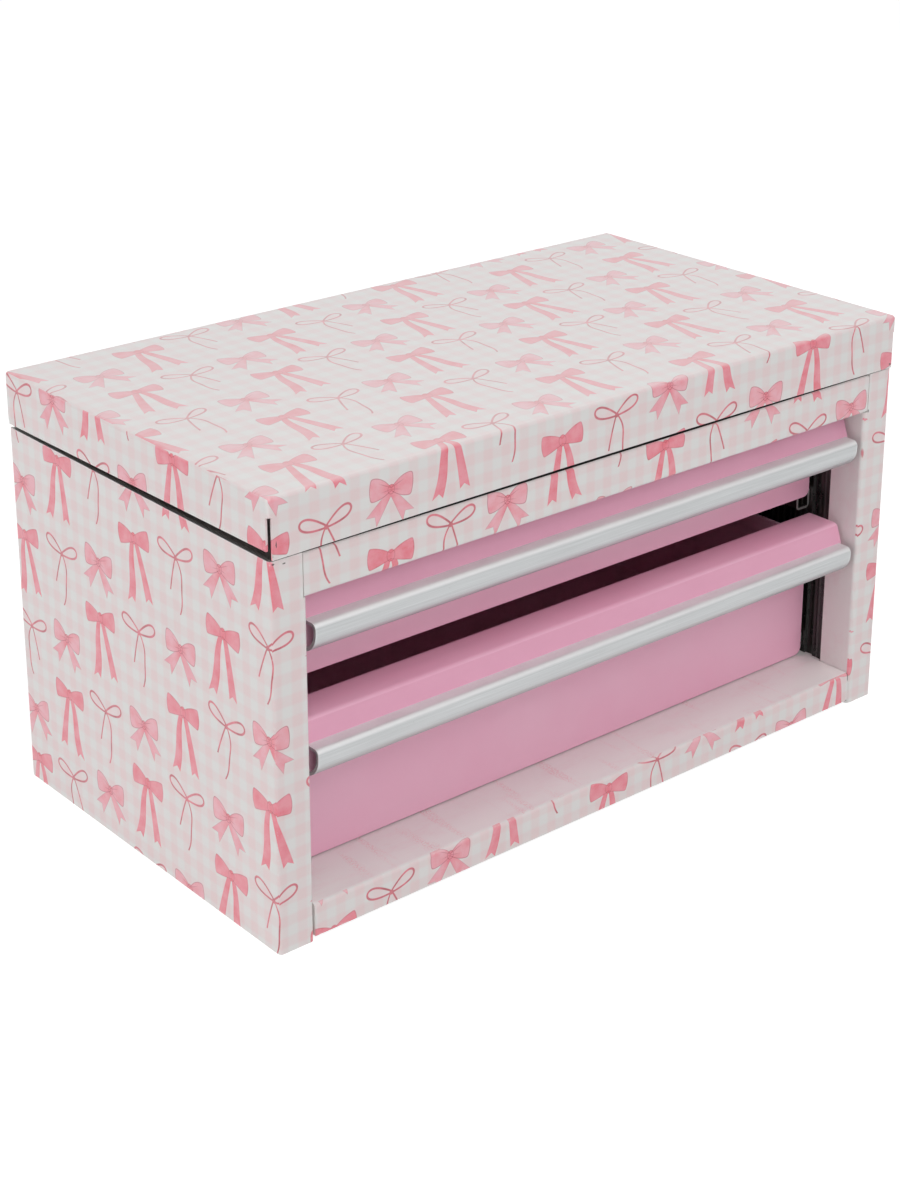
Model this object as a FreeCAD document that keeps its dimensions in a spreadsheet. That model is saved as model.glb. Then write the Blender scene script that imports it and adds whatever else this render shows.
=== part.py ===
import FreeCAD, Part

import math
import os
import re

import Sketcher

# A small sheet-steel tool chest. A hinged lid covers a shallow till, and two drawers slide out below it.
# Millimetres. The front is at -Y, the right-hand side at +X, and the underside rests on Z = 0.

sizes = {
    # case: a folded wrap with stiles and jambs at its open front
    "case_width": 304.0,
    "case_depth": 165.0,
    "wall": 0.8,
    "bend": 0.8,
    "stile_width": 14.5,
    "jamb_depth": 15.5,
    "foot_flange": 10.0,
    "rim_hem": 8.0,
    "rail_height": 16.1,
    "rail_lip": 10.0,
    "rail_seam": 0.3,
    "weld_tab": 7.0,
    "weld_tab_set": 3.0,
    # floor of the drawer space, and the till above it
    "base_height": 14.0,
    "base_clear": 1.6,
    "till_flange": 6.4,
    "till_front": 3.0,
    # heights of the two drawers, stacked from the floor up
    "floor_gap": 0.6,
    "lower_front_height": 64.0,
    "drawer_gap": 7.4,
    "upper_front_height": 38.6,
    "head_gap": 3.4,
    # slide panels behind the jambs
    "panel_set": 1.0,
    "panel_gap": 0.5,
    "panel_rear": 12.2,
    "rib_width": 4.0,
    "rib_depth": 1.0,
    "rib_pitch": 14.0,
    "rib_margin": 7.0,
    "rib_count": 9,
    # tracks on the panels, and the runners that hook into them
    "track_gauge": 1.0,
    "track_width": 7.5,
    "track_height": 9.0,
    "track_lip": 5.0,
    "track_cover": 5.0,
    "track_floor_gap": 0.5,
    "track_start": 0.6,
    "runner_gauge": 1.0,
    "runner_leg": 7.0,
    "runner_gap": 0.8,
    "runner_side_gap": 2.0,
    "runner_play": 0.3,
    "runner_top": 7.0,
    "tray_play": 0.3,
    "runner_start": 2.0,
    # drawers
    "front_recess": 25.0,
    "front_side_gap": 2.0,
    "front_flange": 7.2,
    "front_corner": 3.0,
    "front_hem": 5.2,
    "front_hem_rise": 4.0,
    "nose_face": 6.6,
    "nose_run": 2.7,
    "nose_drop": 7.4,
    "nose_bend": 1.6,
    "rear_space": 14.4,
    "tray_top_drop": 6.6,
    "tray_hem": 6.0,
    # pulls: aluminium section hooked over the lower edge of each nose
    "pull_inset": 1.2,
    "pull_set": 0.2,
    "pull_drop": 7.6,
    "pull_height": 12.0,
    "pull_depth": 10.4,
    "pull_wall": 1.2,
    "pull_curl": 8.8,
    "pull_edge": 2.2,
    "pull_play": 0.2,
    # lid
    "lid_proud": 0.6,
    "lid_gap": 0.5,
    "lid_height": 21.4,
    "lid_side_gap_front": 3.5,
    "lid_side_gap_back": 1.7,
    "lid_front_bow": 0.75,
    "lid_bow_end": 3.0,
    "lid_slit": 1.5,
    "lid_corner": 6.7,
    "lid_hem": 7.0,
    # piano hinge across the back
    "hinge_end": 2.0,
    "leaf": 0.6,
    "leaf_height": 9.0,
    "pin_radius": 0.7,
    "knuckle_bore": 0.85,
    "knuckle_pairs": 6,
    "knuckle_clear": 0.3,
    "hinge_seat": 1.1,
    # how far a cut runs clear of the sheet
    "overcut": 1.0,
}

doc = FreeCAD.newDocument("tool_chest")
table = doc.addObject("Spreadsheet::Sheet", "Sizes")
for row, (name, number) in enumerate(sizes.items(), start=1):
    table.set(f"A{row}", name)
    table.set(f"B{row}", str(number))
    table.setAlias(f"B{row}", name)
doc.recompute()

# Places that follow from the sizes, as formulas.
front = "(lid_proud - (lid_proud + case_depth + 2 * (knuckle_bore + leaf) - wall - leaf) / 2)"
back = f"({front} + case_depth)"
half_case = "case_width / 2"
inner_side = "(case_width / 2 - wall)"
half_opening = "(case_width / 2 - stile_width)"
half_rail = f"({half_opening} - rail_seam)"
rail_side = f"({half_opening} + bend + wall - rail_seam)"

lower_front_bottom = "(base_height + floor_gap)"
lower_nose_top = f"({lower_front_bottom} + lower_front_height)"
upper_front_bottom = f"({lower_nose_top} + drawer_gap)"
upper_nose_top = f"({upper_front_bottom} + upper_front_height)"
opening_top = f"({upper_nose_top} + head_gap)"
case_top = f"({opening_top} + rail_height)"
lid_bottom = f"({case_top} + lid_gap)"
lid_top = f"({lid_bottom} + lid_height)"
till_underside = f"({opening_top} + wall)"

jamb_back = f"({front} + jamb_depth)"
panel_front = f"({jamb_back} + panel_gap)"
panel_back = f"({back} - panel_rear)"
panel_face = f"({half_opening} + panel_set)"
first_rib = f"({panel_front} + rib_margin)"

tray_front = f"({front} + front_recess + wall)"
tray_back = f"({back} - wall - rear_space)"
track_front = f"({tray_front} + wall + track_start)"
tray_side = f"({panel_face} - track_width - runner_gap)"
tray_lift = "(runner_top + tray_play)"
half_front = f"({half_opening} - front_side_gap)"

knuckle_radius = "(knuckle_bore + leaf)"
hinge_y = f"({back} - wall - leaf + {knuckle_radius})"
hinge_z = f"({case_top} + hinge_seat)"
half_hinge = "(case_width / 2 - hinge_end)"
knuckle_length = f"({half_hinge} / knuckle_pairs)"

lower_track_bottom = "(base_height + track_floor_gap)"
upper_track_bottom = f"({upper_front_bottom} + wall - {tray_lift})"


def cells(formula):
    """The formula with every size name pointing at its cell of the spreadsheet."""
    def cell(match):
        return "Sizes." + match.group() if match.group() in sizes else match.group()
    return re.sub(r"[a-z_]+", cell, str(formula))


def amount(formula):
    return float(table.evalExpression(cells(formula)))


def new_body(label):
    body = doc.addObject("PartDesign::Body", label)
    body.Label = label
    return body


def origin_part(body, role):
    return next(item for item in body.Origin.OriginFeatures if item.Role == role)


def new_sketch(body, name, plane, place):
    """A sketch across one axis of the frame, at a place along that axis."""
    sketch = body.newObject("Sketcher::SketchObject", name)
    sketch.AttachmentSupport = [(origin_part(body, plane), "")]
    sketch.MapMode = "FlatFace"
    shift = f"-({place})" if plane == "XZ_Plane" else place
    sketch.setExpression("AttachmentOffset.Base.z", cells(shift))
    return sketch


def bind(sketch, kind, element, end, formula):
    index = sketch.addConstraint(Sketcher.Constraint(kind, element, end, amount(formula)))
    name = f"{kind}_{element}_{end}"
    sketch.renameConstraint(index, name)
    sketch.setExpression(f"Constraints.{name}", cells(formula))


def draw_loop(sketch, corners):
    """Close a loop through the corners. A third value, (radius, turn), makes the run to the next corner
    an arc: turn 1 goes anticlockwise and -1 clockwise."""
    points = [FreeCAD.Vector(amount(corner[0]), amount(corner[1]), 0) for corner in corners]
    ends = []
    for index, corner in enumerate(corners):
        start = points[index]
        stop = points[(index + 1) % len(points)]
        if len(corner) == 2:
            element = sketch.addGeometry(Part.LineSegment(start, stop), False)
            ends.append((element, 1, 2))
            continue
        radius, turn = amount(corner[2][0]), corner[2][1]
        chord = stop - start
        rise = math.sqrt(max(radius ** 2 - (chord.Length / 2) ** 2, 0))
        centre = (start + stop) / 2 + FreeCAD.Vector(-chord.y, chord.x, 0).normalize() * rise * turn
        angles = [math.atan2(point.y - centre.y, point.x - centre.x) for point in (start, stop)]
        if turn < 0:
            angles.reverse()
        circle = Part.Circle(centre, FreeCAD.Vector(0, 0, 1), radius)
        element = sketch.addGeometry(Part.ArcOfCircle(circle, *angles), False)
        ends.append((element, 1, 2) if turn > 0 else (element, 2, 1))
        index_of_radius = sketch.addConstraint(Sketcher.Constraint("Radius", element, radius))
        sketch.renameConstraint(index_of_radius, f"radius_{element}")
        sketch.setExpression(f"Constraints.radius_{element}", cells(corner[2][0]))
    for index, (element, start_end, stop_end) in enumerate(ends):
        following = ends[(index + 1) % len(ends)]
        joint = Sketcher.Constraint("Coincident", element, stop_end, following[0], following[1])
        sketch.addConstraint(joint)
        bind(sketch, "DistanceX", element, start_end, corners[index][0])
        bind(sketch, "DistanceY", element, start_end, corners[index][1])


def draw_circle(sketch, across, up, radius):
    centre = FreeCAD.Vector(amount(across), amount(up), 0)
    element = sketch.addGeometry(Part.Circle(centre, FreeCAD.Vector(0, 0, 1), amount(radius)), False)
    bind(sketch, "DistanceX", element, 3, across)
    bind(sketch, "DistanceY", element, 3, up)
    index = sketch.addConstraint(Sketcher.Constraint("Radius", element, amount(radius)))
    sketch.renameConstraint(index, f"radius_{element}")
    sketch.setExpression(f"Constraints.radius_{element}", cells(radius))


def draw(sketch, loops):
    for loop in loops:
        if loop[0] == "circle":
            draw_circle(sketch, *loop[1:])
        else:
            draw_loop(sketch, loop)


def pad(body, name, plane, loops, start, end):
    """Stand the loops up into a solid from start to end along the axis across the plane."""
    sketch = new_sketch(body, name + "_outline", plane, start)
    draw(sketch, loops)
    feature = body.newObject("PartDesign::Pad", name)
    feature.Profile = sketch
    feature.setExpression("Length", cells(f"{end} - ({start})"))
    feature.Reversed = plane == "XZ_Plane"
    return settled(body, feature)


def pocket(body, name, plane, loops, start, end):
    """Cut the loops out of the body from start to end along the axis across the plane."""
    before = body.Shape.Volume
    sketch = new_sketch(body, name + "_outline", plane, start if plane == "XZ_Plane" else end)
    draw(sketch, loops)
    feature = body.newObject("PartDesign::Pocket", name)
    feature.Profile = sketch
    feature.setExpression("Length", cells(f"{end} - ({start})"))
    settled(body, feature)
    if body.Shape.Volume >= before:
        raise RuntimeError(f"{body.Label}: {name} cuts nothing")
    return feature


def settled(body, feature):
    """The feature after a recompute, or a clear failure."""
    doc.recompute()
    if "Invalid" in feature.State or feature.Shape.isNull():
        raise RuntimeError(f"{body.Label}: {feature.Name} failed, {feature.getStatusString()}")
    return feature


def rectangle(left, low, right, high):
    return [(left, low), (right, low), (right, high), (left, high)]


def folded(points, thickness, side):
    """The outline of sheet folded at right angles along the points of one surface. Side 1 puts the
    thickness on the left of the way, and -1 on the right."""
    places = [(amount(across), amount(up)) for across, up in points]
    normals = []
    for (x0, y0), (x1, y1) in zip(places, places[1:]):
        length = math.hypot(x1 - x0, y1 - y0)
        normals.append((-side * round((y1 - y0) / length), side * round((x1 - x0) / length)))
    inner = []
    for index, (across, up) in enumerate(points):
        shift_x = shift_y = 0
        for normal in {normals[max(index - 1, 0)], normals[min(index, len(normals) - 1)]}:
            shift_x += normal[0]
            shift_y += normal[1]
        inner.append((f"{across} + {shift_x} * {thickness}", f"{up} + {shift_y} * {thickness}"))
    return list(points) + inner[::-1]


def straight_edges(body, along, places):
    """Names of the straight edges that run along one axis through places of the plane across it."""
    others = [axis for axis in "xyz" if axis != along]
    wanted = [(amount(first), amount(second)) for first, second in places]
    names = []
    for index, edge in enumerate(body.Tip.Shape.Edges, start=1):
        if not isinstance(edge.Curve, Part.Line):
            continue
        if abs(getattr(edge.tangentAt(edge.FirstParameter), along)) < 0.999:
            continue
        middle = edge.CenterOfMass
        place = [getattr(middle, axis) for axis in others]
        if any(math.dist(place, point) < 0.02 for point in wanted):
            names.append(f"Edge{index}")
    if not names:
        raise RuntimeError(f"{body.Label}: no edges along {along} at {places}")
    return names


def fillet(body, name, edges, radius):
    base = body.Tip
    feature = body.newObject("PartDesign::Fillet", name)
    feature.Base = (base, edges)
    feature.setExpression("Radius", cells(radius))
    return settled(body, feature)


def hollow(body, name, open_face_at, thickness):
    """Turn a block into sheet of one thickness, open at its highest or lowest face."""
    base = body.Tip
    faces = base.Shape.Faces
    heights = [face.CenterOfMass.z for face in faces]
    chosen = heights.index(max(heights) if open_face_at == "top" else min(heights))
    feature = body.newObject("PartDesign::Thickness", name)
    feature.Base = (base, [f"Face{chosen + 1}"])
    feature.setExpression("Value", cells(thickness))
    feature.Reversed = True
    feature.Join = 1
    return settled(body, feature)


def repeat(body, name, features, axis, spacing, count):
    feature = body.newObject("PartDesign::LinearPattern", name)
    feature.Originals = features
    feature.Direction = (origin_part(body, axis), [""])
    feature.setExpression("Length", cells(f"({spacing}) * ({count} - 1)"))
    feature.setExpression("Occurrences", cells(count))
    body.Tip = feature
    return settled(body, feature)


def make_case_shell():
    """One sheet: jamb, stile, side, back, side, stile, jamb."""
    body = new_body("case_shell")
    path = [
        (half_opening, jamb_back), (half_opening, front), (half_case, front), (half_case, back),
        (f"-{half_case}", back), (f"-{half_case}", front), (f"-{half_opening}", front),
        (f"-{half_opening}", jamb_back),
    ]
    pad(body, "wrap", "XY_Plane", [folded(path, "wall", 1)], "0", case_top)
    outer = [(x, y) for x in (half_case, f"-{half_case}") for y in (front, back)]
    outer += [(half_opening, front), (f"-{half_opening}", front)]
    fillet(body, "outer_bends", straight_edges(body, "z", outer), "bend + wall")
    inner = [(x, y) for x in (inner_side, f"-{inner_side}") for y in (f"{front} + wall", f"{back} - wall")]
    inner += [(f"{half_opening} + wall", f"{front} + wall"), (f"-{half_opening} - wall", f"{front} + wall")]
    fillet(body, "inner_bends", straight_edges(body, "z", inner), "bend")
    for name, sign in (("left", -1), ("right", 1)):
        # the side turns in at the bottom as a foot, and folds back on itself at the rim
        foot = rectangle(f"{sign} * {inner_side}", f"{front} + bend + wall",
                         f"{sign} * ({inner_side} - foot_flange)", f"{back} - bend - wall")
        pad(body, name + "_foot", "XY_Plane", [foot], "0", "wall")
        hem = rectangle(f"{sign} * {inner_side}", f"{front} + bend + wall",
                        f"{sign} * ({inner_side} - wall)", f"{back} - 4 * wall")
        pad(body, name + "_rim", "XY_Plane", [hem], f"{case_top} - rim_hem", case_top)
    back_foot = rectangle(f"-{inner_side} + foot_flange", f"{back} - wall - foot_flange",
                          f"{inner_side} - foot_flange", f"{back} - wall")
    pad(body, "back_foot", "XY_Plane", [back_foot], "0", "wall")
    # the jambs stop under the rail, which fills the notch from stile to stile
    for name, sign in (("left", -1), ("right", 1)):
        notch = rectangle(f"{sign} * ({half_opening} - overcut)", f"{front} - overcut",
                          f"{sign} * ({half_opening} + bend + wall)", f"{jamb_back} + overcut")
        pocket(body, name + "_notch", "XY_Plane", [notch], opening_top, f"{case_top} + overcut")
    # the back stops short of the hinge barrel
    room = rectangle(f"-{half_case} - overcut", f"{back} - wall - knuckle_clear",
                     f"{half_case} + overcut", f"{back} + overcut")
    pocket(body, "barrel_room", "XY_Plane", [room], f"{hinge_z} - {knuckle_radius} - knuckle_clear",
           f"{case_top} + overcut")
    return body


def make_top_rail():
    """A channel across the head of the opening. It rests on the jambs and is welded behind the stiles."""
    body = new_body("top_rail")
    path = [(jamb_back, opening_top), (front, opening_top), (front, case_top),
            (f"{front} + rail_lip", case_top)]
    pad(body, "channel", "YZ_Plane", [folded(path, "wall", -1)], f"-{rail_side}", rail_side)
    corners = [(front, opening_top), (front, case_top)]
    fillet(body, "outer_bends", straight_edges(body, "x", corners), "bend + wall")
    corners = [(f"{front} + wall", f"{opening_top} + wall"), (f"{front} + wall", f"{case_top} - wall")]
    fillet(body, "inner_bends", straight_edges(body, "x", corners), "bend")
    for name, sign in (("left", -1), ("right", 1)):
        tab = rectangle(f"{sign} * ({rail_side} - weld_tab)", f"{front} + wall",
                        f"{sign} * ({rail_side} + weld_tab)", f"{front} + 2 * wall")
        pad(body, name + "_tab", "XY_Plane", [tab], f"{opening_top} + weld_tab_set",
            f"{case_top} - weld_tab_set")
    return body


def notched_plate(front_y, side_x, back_y):
    """A plate that is narrow between the jambs and full width behind them."""
    return [
        (f"-{half_rail}", front_y), (half_rail, front_y), (half_rail, panel_front),
        (side_x, panel_front), (side_x, back_y), (f"-{side_x}", back_y),
        (f"-{side_x}", panel_front), (f"-{half_rail}", panel_front),
    ]


def round_back_corners(body):
    """Round a plate where it meets the bends of the case."""
    corners = [(x, f"{back} - wall") for x in (inner_side, f"-{inner_side}")]
    fillet(body, "back_corners", straight_edges(body, "z", corners), "bend + wall")


def make_base_pan():
    """The floor under the drawers, with a flange turned down all round."""
    body = new_body("base_pan")
    plate = notched_plate(front, inner_side, f"({back} - wall)")
    pad(body, "block", "XY_Plane", [plate], "base_clear", "base_height")
    fillet(body, "front_bend", straight_edges(body, "x", [(front, "base_height")]), "bend + wall")
    round_back_corners(body)
    hollow(body, "sheet", "bottom", "wall")
    return body


def make_till_floor():
    """The floor of the till under the lid, resting on the top rail and the slide panels."""
    body = new_body("till_floor")
    plate = rectangle(f"-{inner_side}", f"{front} + till_front", inner_side, f"{back} - wall")
    pad(body, "block", "XY_Plane", [plate], till_underside, f"{till_underside} + till_flange")
    round_back_corners(body)
    hollow(body, "sheet", "top", "wall")
    return body


def make_slide_panel(side, sign):
    """A ribbed channel behind the jamb that carries the tracks."""
    body = new_body(f"{side}_slide_panel")
    path = [(f"{sign} * {inner_side}", panel_front), (f"{sign} * {panel_face}", panel_front),
            (f"{sign} * {panel_face}", panel_back), (f"{sign} * {inner_side}", panel_back)]
    pad(body, "channel", "XY_Plane", [folded(path, "wall", -sign)], "base_height", till_underside)
    rib_back = rectangle(f"{sign} * ({panel_face} + wall)", f"{first_rib} - rib_width / 2 - wall",
                         f"{sign} * ({panel_face} + wall + rib_depth)", f"{first_rib} + rib_width / 2 + wall")
    raised = pad(body, "rib", "XY_Plane", [rib_back], "base_height", till_underside)
    groove = rectangle(f"{sign} * ({panel_face} - overcut)", f"{first_rib} - rib_width / 2",
                       f"{sign} * ({panel_face} + rib_depth)", f"{first_rib} + rib_width / 2")
    pressed = pocket(body, "groove", "XY_Plane", [groove], "base_height - overcut",
                     f"{till_underside} + overcut")
    repeat(body, "ribs", [raised, pressed], "Y_Axis", "rib_pitch", "rib_count")
    return body


def make_track(level, side, sign, bottom):
    """A channel on the slide panel, with a lip at its open edge and a cover over the runner."""
    body = new_body(f"{level}_{side}_track")
    path = [
        (f"{sign} * ({panel_face} - track_width)", f"{bottom} + track_lip"),
        (f"{sign} * ({panel_face} - track_width)", bottom),
        (f"{sign} * {panel_face}", bottom),
        (f"{sign} * {panel_face}", f"{bottom} + track_height"),
        (f"{sign} * ({panel_face} - track_cover)", f"{bottom} + track_height"),
    ]
    pad(body, "channel", "XZ_Plane", [folded(path, "track_gauge", sign)], track_front, tray_back)
    corners = [path[1], path[2], path[3]]
    fillet(body, "outer_bends", straight_edges(body, "y", corners), "bend + track_gauge")
    return body


def make_runner(level, side, sign, bottom):
    """A strip on the tray that hooks over the lip of its track."""
    body = new_body(f"{level}_{side}_runner")
    reach = f"({panel_face} - track_gauge - runner_side_gap)"
    inner = tray_side
    section = [
        (f"{sign} * {inner}", f"{bottom} + runner_top + runner_leg"),
        (f"{sign} * {inner}", f"{bottom} + runner_top - runner_gauge"),
        (f"{sign} * ({reach} - runner_gauge)", f"{bottom} + runner_top - runner_gauge"),
        (f"{sign} * ({reach} - runner_gauge)", f"{bottom} + track_gauge + runner_play"),
        (f"{sign} * {reach}", f"{bottom} + track_gauge + runner_play"),
        (f"{sign} * {reach}", f"{bottom} + runner_top"),
        (f"{sign} * ({inner} + runner_gauge)", f"{bottom} + runner_top"),
        (f"{sign} * ({inner} + runner_gauge)", f"{bottom} + runner_top + runner_leg"),
    ]
    pad(body, "strip", "XZ_Plane", [section], f"{tray_front} + runner_start", tray_back)
    return body


def make_tray(level, bottom, top):
    """The box of a drawer, with its rim folded inwards."""
    body = new_body(f"{level}_drawer_tray")
    block = rectangle(f"-{tray_side}", tray_front, tray_side, tray_back)
    pad(body, "block", "XY_Plane", [block], bottom, top)
    upright = [(x, y) for x in (tray_side, f"-{tray_side}") for y in (tray_front, tray_back)]
    names = straight_edges(body, "z", upright)
    names += straight_edges(body, "x", [(y, bottom) for y in (tray_front, tray_back)])
    names += straight_edges(body, "y", [(x, bottom) for x in (tray_side, f"-{tray_side}")])
    fillet(body, "bends", names, "bend + wall")
    hollow(body, "sheet", "top", "wall")
    outside = rectangle(f"-{tray_side} + wall / 2", f"{tray_front} + wall / 2",
                        f"{tray_side} - wall / 2", f"{tray_back} - wall / 2")
    inside = rectangle(f"-{tray_side} + 2 * wall", f"{tray_front} + 2 * wall",
                       f"{tray_side} - 2 * wall", f"{tray_back} - 2 * wall")
    pad(body, "rim", "XY_Plane", [outside, inside], f"{top} - tray_hem", top)
    return body


def make_drawer_front(level, bottom, top):
    """A folded front: flat face, then a nose that overhangs the finger recess in front of it."""
    body = new_body(f"{level}_drawer_front")
    slant = "atan(nose_run / nose_drop)"
    face = f"({front} + nose_face)"
    curl_run = f"(pull_set + pull_curl - nose_face)"
    leg_bottom = (f"({top} - pull_drop - pull_height + pull_curl + pull_play"
                  f" - sqrt((pull_curl - pull_wall) ^ 2 - {curl_run} ^ 2))")
    section = [
        (f"{tray_front} - wall", bottom), (tray_front, bottom), (tray_front, top),
        (f"{face} + nose_run", top), (face, f"{top} - nose_drop"), (face, leg_bottom),
        (f"{face} + wall", leg_bottom), (f"{face} + wall", f"{top} - nose_drop - wall * tan({slant} / 2)"),
        (f"{face} + nose_run + wall * tan(45 deg - {slant} / 2)", f"{top} - wall"),
        (f"{tray_front} - wall", f"{top} - wall"),
    ]
    pad(body, "fold", "YZ_Plane", [section], f"-{half_front}", half_front)
    corners = [(x, bottom) for x in (half_front, f"-{half_front}")]
    fillet(body, "lower_corners", straight_edges(body, "y", corners), "front_corner")
    bends = [section[2], section[3]]
    fillet(body, "outer_bends", straight_edges(body, "x", bends), "nose_bend + wall")
    bends = [section[8], section[9]]
    fillet(body, "inner_bends", straight_edges(body, "x", bends), "nose_bend")
    flange = rectangle(f"-{tray_side} + wall", tray_front, f"{tray_side} - wall",
                       f"{tray_front} + front_flange")
    pad(body, "lower_flange", "XY_Plane", [flange], bottom, f"{bottom} + wall")
    for name, sign in (("left", -1), ("right", 1)):
        hem = rectangle(f"{sign} * {half_front}", tray_front,
                        f"{sign} * ({half_front} - front_hem)", f"{tray_front} + wall")
        pad(body, name + "_hem", "XY_Plane", [hem], f"{bottom} + front_hem_rise",
            f"{top} - nose_bend - 2 * wall")
    return body


def make_pull(level, top):
    """An open aluminium section: a flange on top, a face that curls under, and a lip for the fingers."""
    body = new_body(f"{level}_pull")
    near = f"({front} + pull_set)"
    low = f"({top} - pull_drop - pull_height)"
    high = f"({low} + pull_height)"
    seat = f"{front} + nose_face"
    section = [
        (seat, high),
        (f"{near} + pull_edge", high, ("pull_edge", 1)),
        (near, f"{high} - pull_edge"),
        (near, f"{low} + pull_curl", ("pull_curl", 1)),
        (f"{near} + pull_curl", low),
        (f"{near} + pull_depth", low),
        (f"{near} + pull_depth", f"{low} + pull_wall"),
        (f"{near} + pull_curl", f"{low} + pull_wall", ("pull_curl - pull_wall", -1)),
        (f"{near} + pull_wall", f"{low} + pull_curl"),
        (f"{near} + pull_wall", f"{high} - pull_edge", ("pull_edge - pull_wall", -1)),
        (f"{near} + pull_edge", f"{high} - pull_wall"),
        (seat, f"{high} - pull_wall"),
    ]
    half_pull = f"({half_front} - pull_inset)"
    pad(body, "section", "YZ_Plane", [section], f"-{half_pull}", half_pull)
    return body


def make_lid():
    """A pan whose flanges hang down over the rim, slit at the front corners."""
    body = new_body("lid_pan")
    side = f"({half_case} + lid_proud)"
    near = f"({front} - lid_proud)"
    block = rectangle(f"-{side}", near, side, back)
    pad(body, "block", "XY_Plane", [block], lid_bottom, lid_top)
    names = straight_edges(body, "z", [(x, y) for x in (side, f"-{side}") for y in (near, back)])
    names += straight_edges(body, "x", [(y, lid_top) for y in (near, back)])
    names += straight_edges(body, "y", [(x, lid_top) for x in (side, f"-{side}")])
    fillet(body, "bends", names, "bend + wall")
    hollow(body, "sheet", "bottom", "wall")
    # the side flanges stop above the rim and the back one above the hinge barrel
    barrel_top = f"{hinge_z} + {knuckle_radius} + knuckle_clear"
    trim = [
        (f"{near} + lid_slit", f"{lid_bottom} - overcut"), (f"{back} + overcut", f"{lid_bottom} - overcut"),
        (f"{back} + overcut", barrel_top), (f"{back} - 2 * wall", barrel_top),
        (f"{back} - 2 * wall", f"{case_top} + lid_side_gap_back"),
        (f"{near} + lid_slit", f"{case_top} + lid_side_gap_front"),
    ]
    pocket(body, "trim", "YZ_Plane", [trim], f"-{side} - overcut", f"{side} + overcut")
    for name, sign in (("left", -1), ("right", 1)):
        slit = rectangle(f"{sign} * ({side} - lid_slit)", f"{near} - overcut", f"{sign} * ({side} + overcut)",
                         f"{near} + lid_slit")
        pocket(body, name + "_slit", "XY_Plane", [slit], f"{lid_bottom} - overcut", f"{lid_top} - lid_corner")
    hem = rectangle(f"-{side} + 3 * wall", f"{near} + wall", f"{side} - 3 * wall", f"{near} + 2 * wall")
    pad(body, "front_hem", "XY_Plane", [hem], lid_bottom, f"{lid_bottom} + lid_hem")
    # the front edge rises a little between its corners
    span = f"({side} - lid_bow_end)"
    bow_radius = f"({span} ^ 2 + lid_front_bow ^ 2) / (2 * lid_front_bow)"
    bow = [
        (f"-{span}", f"{lid_bottom} - overcut"), (span, f"{lid_bottom} - overcut"),
        (span, lid_bottom, (bow_radius, 1)), (f"-{span}", lid_bottom),
    ]
    pocket(body, "front_bow", "XZ_Plane", [bow], f"{near} - overcut", f"{near} + 2 * wall + overcut")
    return body


def make_leaf(label, sign, first_gap):
    """One leaf of the piano hinge: a strip with knuckles on every other pitch. Sign 1 points up."""
    body = new_body(label)
    leaf_y = f"({back} - wall - leaf)"
    low, high = (hinge_z, f"{hinge_z} + leaf_height") if sign > 0 else (f"{hinge_z} - leaf_height", hinge_z)
    start, end = f"-{half_hinge}", half_hinge
    pad(body, "strip", "YZ_Plane", [rectangle(leaf_y, low, f"{leaf_y} + leaf", high)], start, end)
    barrel = [("circle", hinge_y, hinge_z, knuckle_radius), ("circle", hinge_y, hinge_z, "knuckle_bore")]
    pad(body, "barrel", "YZ_Plane", barrel, start, end)
    reach = f"{sign} * ({knuckle_radius} + knuckle_clear)"
    gap = [(f"{leaf_y} - overcut", f"{hinge_z} - {sign} * 2 * {knuckle_radius}"),
           (f"{hinge_y} + 2 * {knuckle_radius}", f"{hinge_z} - {sign} * 2 * {knuckle_radius}"),
           (f"{hinge_y} + 2 * {knuckle_radius}", f"{hinge_z} + {reach}"),
           (f"{leaf_y} - overcut", f"{hinge_z} + {reach}")]
    gap_start = f"-{half_hinge} + {first_gap} * {knuckle_length} - knuckle_clear / 2"
    gap_end = f"{gap_start} + {knuckle_length} + knuckle_clear"
    cut = pocket(body, "gap", "YZ_Plane", [gap], gap_start, gap_end)
    repeat(body, "gaps", [cut], "X_Axis", f"2 * {knuckle_length}", "knuckle_pairs")
    return body


def make_hinge_pin():
    body = new_body("hinge_pin")
    pin = [("circle", hinge_y, hinge_z, "pin_radius")]
    pad(body, "pin", "YZ_Plane", pin, f"-{half_hinge}", half_hinge)
    return body


parts = [
    make_case_shell(), make_top_rail(), make_base_pan(), make_till_floor(), make_lid(),
    make_leaf("case_hinge_leaf", -1, 1), make_leaf("lid_hinge_leaf", 1, 0), make_hinge_pin(),
]
sides = [("left", -1), ("right", 1)]
parts += [make_slide_panel(side, sign) for side, sign in sides]
drawers = [
    ("lower", lower_track_bottom, lower_front_bottom, lower_nose_top),
    ("upper", upper_track_bottom, upper_front_bottom, upper_nose_top),
]
for level, track_bottom, front_bottom, nose_top in drawers:
    parts.append(make_tray(level, f"({track_bottom} + {tray_lift})", f"({nose_top} - tray_top_drop)"))
    parts.append(make_drawer_front(level, front_bottom, nose_top))
    parts.append(make_pull(level, nose_top))
    for side, sign in sides:
        parts.append(make_track(level, side, sign, track_bottom))
        parts.append(make_runner(level, side, sign, track_bottom))

doc.recompute()
faults = [f"{item.Label}: {item.State}" for item in doc.Objects
          if "Invalid" in item.State or "Error" in item.State]
for part in parts:
    if part.Shape.isNull() or not part.Shape.isValid():
        faults.append(f"{part.Label}: bad shape")
if faults:
    raise RuntimeError("; ".join(faults))

os.makedirs("parts", exist_ok=True)
for part in parts:
    part.Shape.exportStep(f"parts/{part.Label}.step")
    box = part.Shape.BoundBox
    print(f"{part.Label}: {len(part.Shape.Solids)} solid, {part.Shape.Volume:.0f} mm3, "
          f"{box.XLength:.1f} x {box.YLength:.1f} x {box.ZLength:.1f} mm")
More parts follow.
